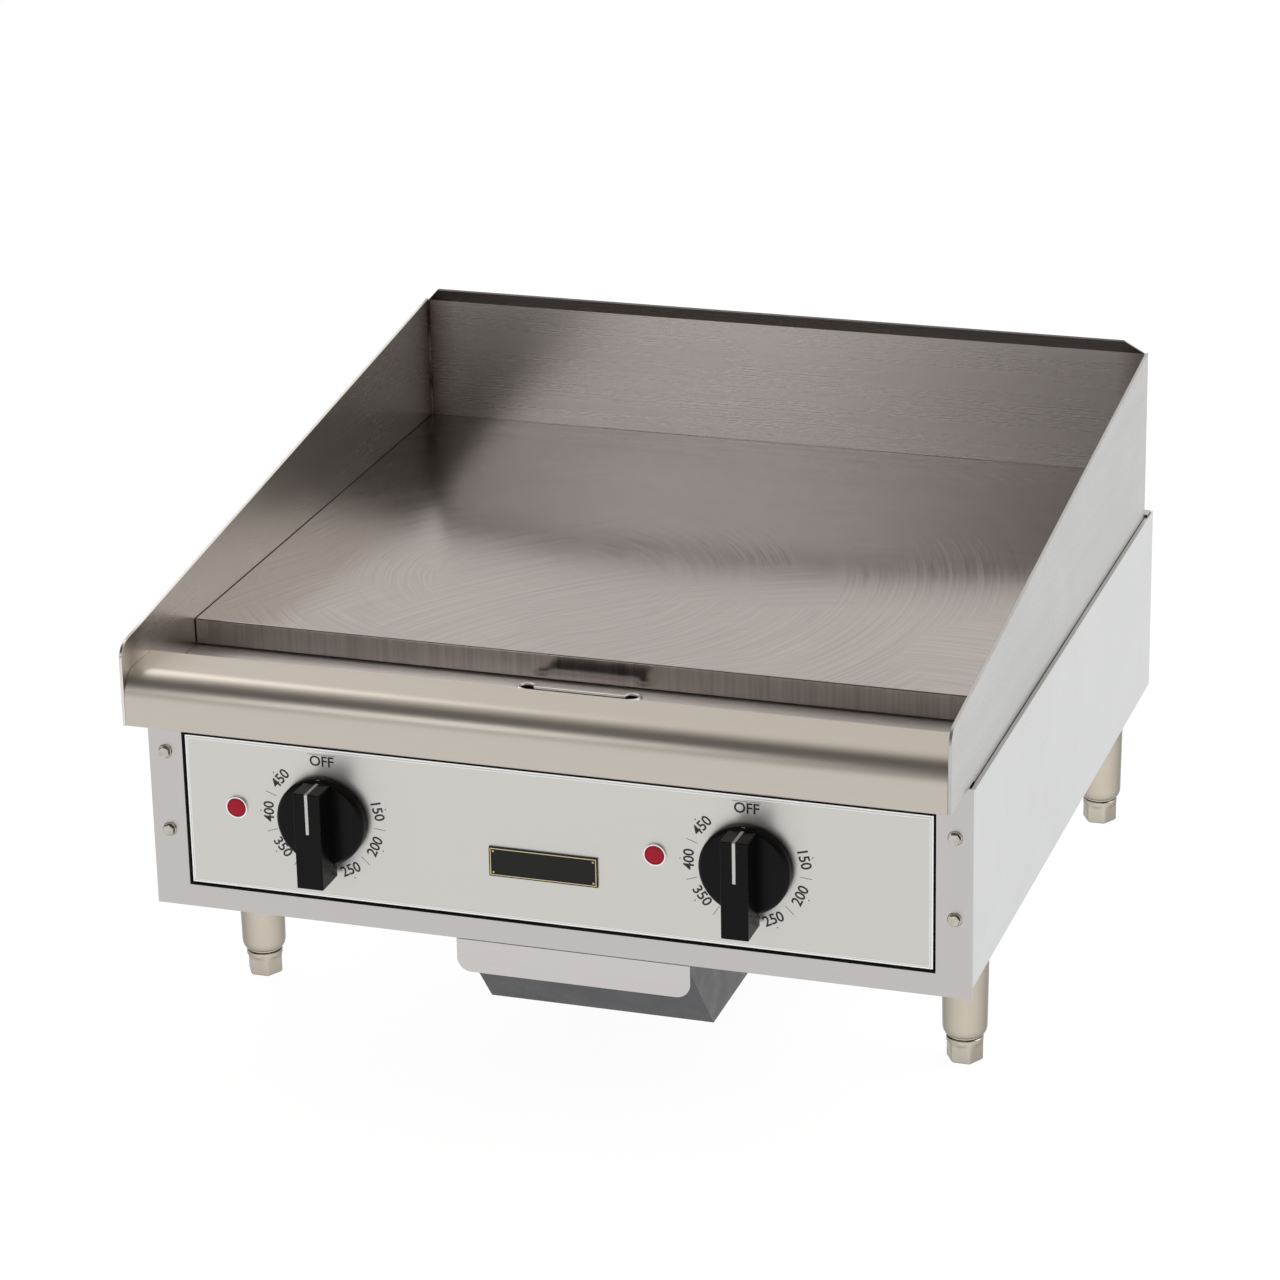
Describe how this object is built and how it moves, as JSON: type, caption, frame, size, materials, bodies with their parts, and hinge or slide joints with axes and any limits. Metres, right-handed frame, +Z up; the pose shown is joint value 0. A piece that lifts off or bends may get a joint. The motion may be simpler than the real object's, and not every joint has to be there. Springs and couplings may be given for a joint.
{
  "type": "flat top griddle",
  "caption": "Countertop electric griddle: thick steel plate inside tapered splashes, front grease gutter over a slide-out drawer, thermostat knobs, levelling feet.",
  "frame": {"origin": "centre of the overall box at the surface the feet stand on", "axes": "+Z up, +X to the cook's right, -Y towards the cook"},
  "size_m": [0.61, 0.638, 0.407],
  "materials": {
    "ground_steel_plate": "ground, fine circular scratches",
    "splash_stainless": "brushed along the length",
    "deck_stainless": "satin, brushed left to right",
    "body_stainless": "satin, brushed left to right",
    "fascia_satin": "fine satin",
    "galvanised_inner": "dull zinc",
    "drawer_blued_steel": "dark, semi-matt",
    "drawer_front_stainless": "satin",
    "nickel_plate": "satin nickel",
    "screw_steel": "bright zinc",
    "knob_phenolic": "semi-gloss black",
    "lens_red": "clear gloss red",
    "bezel_chrome": "bright",
    "black_plastic": "matt",
    "plate_black": "semi-gloss black with a brass border",
    "thermostat_casing": "zinc",
    "copper_bulb": "dull",
    "element_sheath": "dark oxide",
    "mineral_wool": "fibrous",
    "wire_sleeving": "braided"
  },
  "bodies": {
    "chassis": {"griddle_plate": "ground_steel_plate", "splash_left": "splash_stainless", "splash_right": "splash_stainless", "backsplash": "splash_stainless", "bullnose": "deck_stainless", "grease_trough": "deck_stainless", "drain_chute": "deck_stainless", "front_frame": "body_stainless", "side_panel_left": "body_stainless", "side_panel_right": "body_stainless", "rear_panel": "body_stainless", "control_panel": "fascia_satin", "front_brackets": "galvanised_inner", "plate_rails": "galvanised_inner", "bottom_pan": "galvanised_inner", "leg_gussets": "galvanised_inner", "drawer_rails": "galvanised_inner", "heat_shield": "galvanised_inner", "clamp_bars": "galvanised_inner", "leg_front_left": "nickel_plate", "leg_front_right": "nickel_plate", "leg_rear_left": "nickel_plate", "leg_rear_right": "nickel_plate", "frame_screws": "screw_steel", "rear_screws": "screw_steel", "thermostat_screws": "screw_steel", "clamp_studs": "screw_steel", "clamp_nuts": "screw_steel", "ground_lug": "screw_steel", "pilot_lens_left": "lens_red", "pilot_lens_right": "lens_red", "pilot_bezel_left": "bezel_chrome", "pilot_bezel_right": "bezel_chrome", "pilot_body_left": "black_plastic", "pilot_body_right": "black_plastic", "panel_clips": "black_plastic", "terminal_block": "black_plastic", "name_plate": "plate_black", "thermostat_left": "thermostat_casing", "thermostat_right": "thermostat_casing", "thermostat_bulb_left": "copper_bulb", "thermostat_bulb_right": "copper_bulb", "heating_element_left": "element_sheath", "heating_element_right": "element_sheath", "insulation_blanket": "mineral_wool", "wiring": "wire_sleeving"},
    "knob_left": {"knob_left": "knob_phenolic", "thermostat_shaft_left": "screw_steel"},
    "knob_right": {"knob_right": "knob_phenolic", "thermostat_shaft_right": "screw_steel"},
    "grease_drawer": {"drawer_pan": "drawer_blued_steel", "drawer_front": "drawer_front_stainless"},
    "foot_front_left": {"foot_front_left": "nickel_plate"},
    "foot_front_right": {"foot_front_right": "nickel_plate"},
    "foot_rear_left": {"foot_rear_left": "nickel_plate"},
    "foot_rear_right": {"foot_rear_right": "nickel_plate"}
  },
  "joints": [
    {"name": "knob_left_turn", "type": "hinge", "parent": "chassis", "child": "knob_left", "pos_m": [-0.1715, -0.271, 0.183], "axis": [0, 1, 0], "range_deg": [0, 310]},
    {"name": "knob_right_turn", "type": "hinge", "parent": "chassis", "child": "knob_right", "pos_m": [0.144, -0.271, 0.183], "axis": [0, 1, 0], "range_deg": [0, 310]},
    {"name": "drawer_slide", "type": "slide", "parent": "chassis", "child": "grease_drawer", "axis": [0, -1, 0], "range_m": [0, 0.3]},
    {"name": "foot_front_left_level", "type": "slide", "parent": "chassis", "child": "foot_front_left", "axis": [0, 0, -1], "range_m": [0, 0.02]},
    {"name": "foot_front_right_level", "type": "slide", "parent": "chassis", "child": "foot_front_right", "axis": [0, 0, -1], "range_m": [0, 0.02]},
    {"name": "foot_rear_left_level", "type": "slide", "parent": "chassis", "child": "foot_rear_left", "axis": [0, 0, -1], "range_m": [0, 0.02]},
    {"name": "foot_rear_right_level", "type": "slide", "parent": "chassis", "child": "foot_rear_right", "axis": [0, 0, -1], "range_m": [0, 0.02]}
  ]
}
